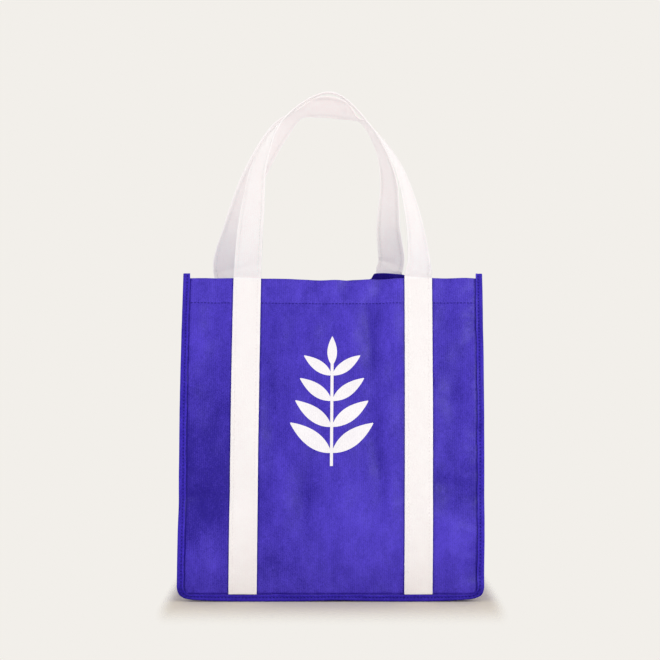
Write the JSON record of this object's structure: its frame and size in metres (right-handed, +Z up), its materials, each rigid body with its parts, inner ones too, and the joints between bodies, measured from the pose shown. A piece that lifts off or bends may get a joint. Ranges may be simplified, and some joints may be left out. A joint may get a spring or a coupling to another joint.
{
  "type": "non-woven tote bag",
  "caption": "Standing tote bag of thin non-woven cloth with a flat rectangular base, gusseted sides, bound seams, a hemmed open mouth and full-height straps that loop into carrying handles.",
  "frame": {"origin": "on the floor under the middle of the base", "axes": "+Z up, -Y out of the front panel, +X to the right as seen from the front"},
  "size_m": [0.309, 0.2072, 0.5169],
  "materials": {
    "body_cloth": "thermally bonded non-woven polypropylene, faint bond pattern, low sheen",
    "binding_cloth": "non-woven polypropylene tape",
    "strap_cloth": "folded non-woven polypropylene, white",
    "base_board": "plain stiff sheet",
    "print_ink": "thin matt screen ink"
  },
  "bodies": {
    "root": {"front_panel": "body_cloth", "back_panel": "body_cloth", "gusset_strip": "body_cloth", "front_binding": "binding_cloth", "back_binding": "binding_cloth", "front_strap": "strap_cloth", "back_strap": "strap_cloth", "front_print": "print_ink", "base_board": "base_board"}
  },
  "joints": []
}
